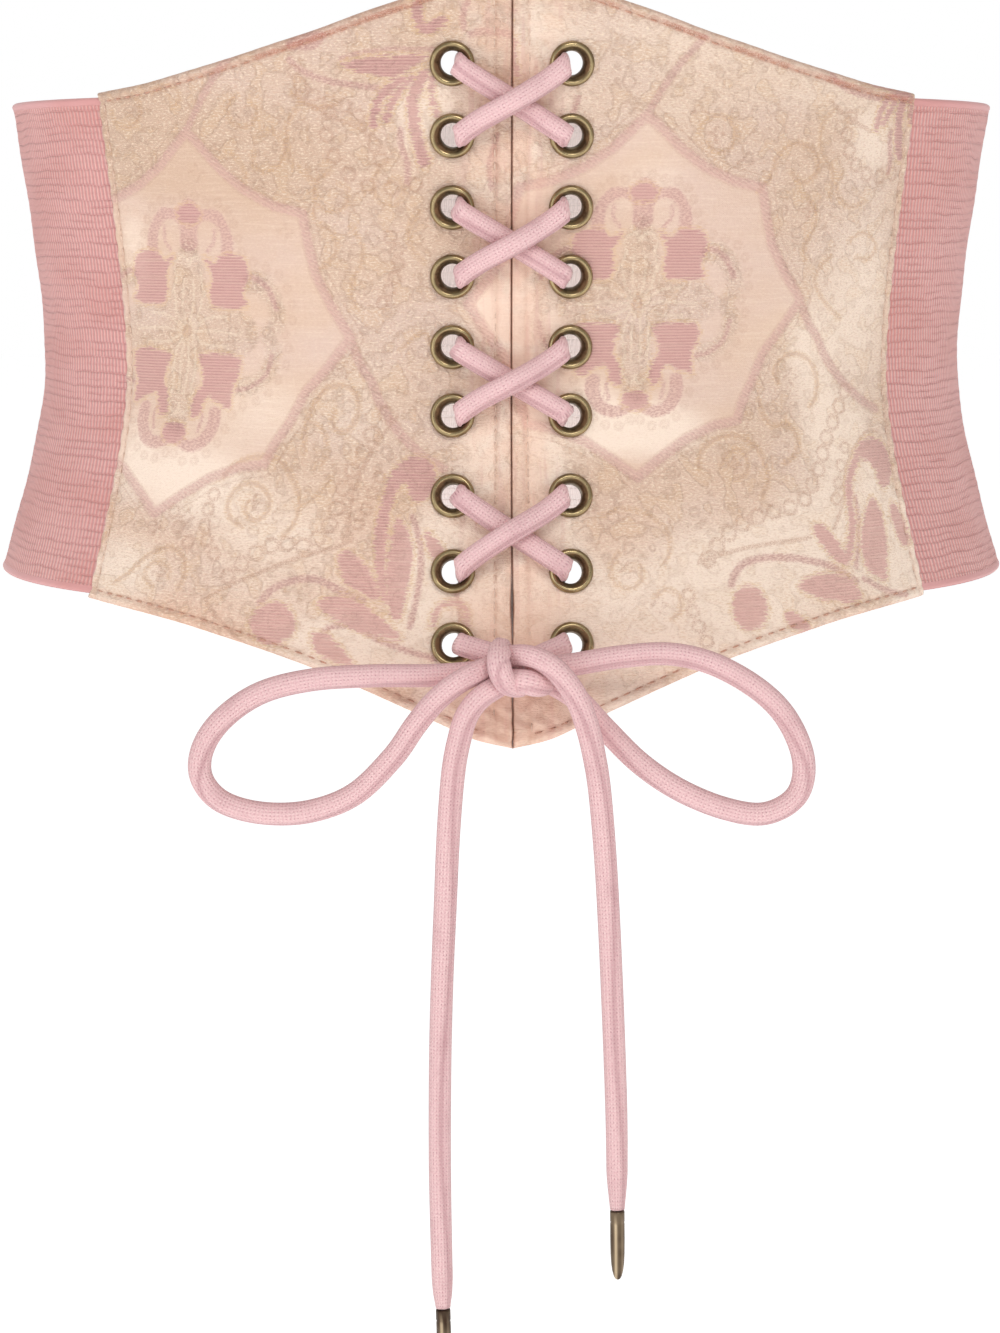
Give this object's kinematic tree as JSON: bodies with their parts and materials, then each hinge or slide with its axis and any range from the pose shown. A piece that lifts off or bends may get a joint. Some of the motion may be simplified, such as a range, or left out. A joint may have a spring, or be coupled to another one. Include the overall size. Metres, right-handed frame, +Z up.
{
  "type": "corset belt",
  "caption": "Laced corset belt in its worn form: two pointed brocade front panels with brass eyelets, a wide elastic back, and a braided lace tied in a bow.",
  "frame": {"origin": "middle of the waist opening at the narrowest level of the belt", "axes": "+X to the right for someone facing the front, -Y towards the front where the lacing is, +Z up towards the wearer's chest"},
  "size_m": [0.2766, 0.2304, 0.3441],
  "materials": {
    "brocade": "woven brocade, cream and blush with dusty pink motifs, low satin sheen",
    "elastic": "ribbed and creased dusty rose elastic webbing",
    "lace": "braided pink cord",
    "brass": "antique brass, dark in the recesses and worn on the edges"
  },
  "bodies": {
    "root": {"elastic_band": "elastic", "brocade_panel_left": "brocade", "brocade_panel_right": "brocade", "eyelet_left_1": "brass", "eyelet_left_2": "brass", "eyelet_left_3": "brass", "eyelet_left_4": "brass", "eyelet_left_5": "brass", "eyelet_left_6": "brass", "eyelet_left_7": "brass", "eyelet_left_8": "brass", "eyelet_left_9": "brass", "eyelet_right_1": "brass", "eyelet_right_2": "brass", "eyelet_right_3": "brass", "eyelet_right_4": "brass", "eyelet_right_5": "brass", "eyelet_right_6": "brass", "eyelet_right_7": "brass", "eyelet_right_8": "brass", "eyelet_right_9": "brass", "lacing": "lace", "bow_knot": "lace", "bow_loop_left": "lace", "bow_loop_right": "lace", "lace_tail_left": "lace", "lace_tail_right": "lace", "aglet_left": "brass", "aglet_right": "brass"}
  },
  "joints": []
}
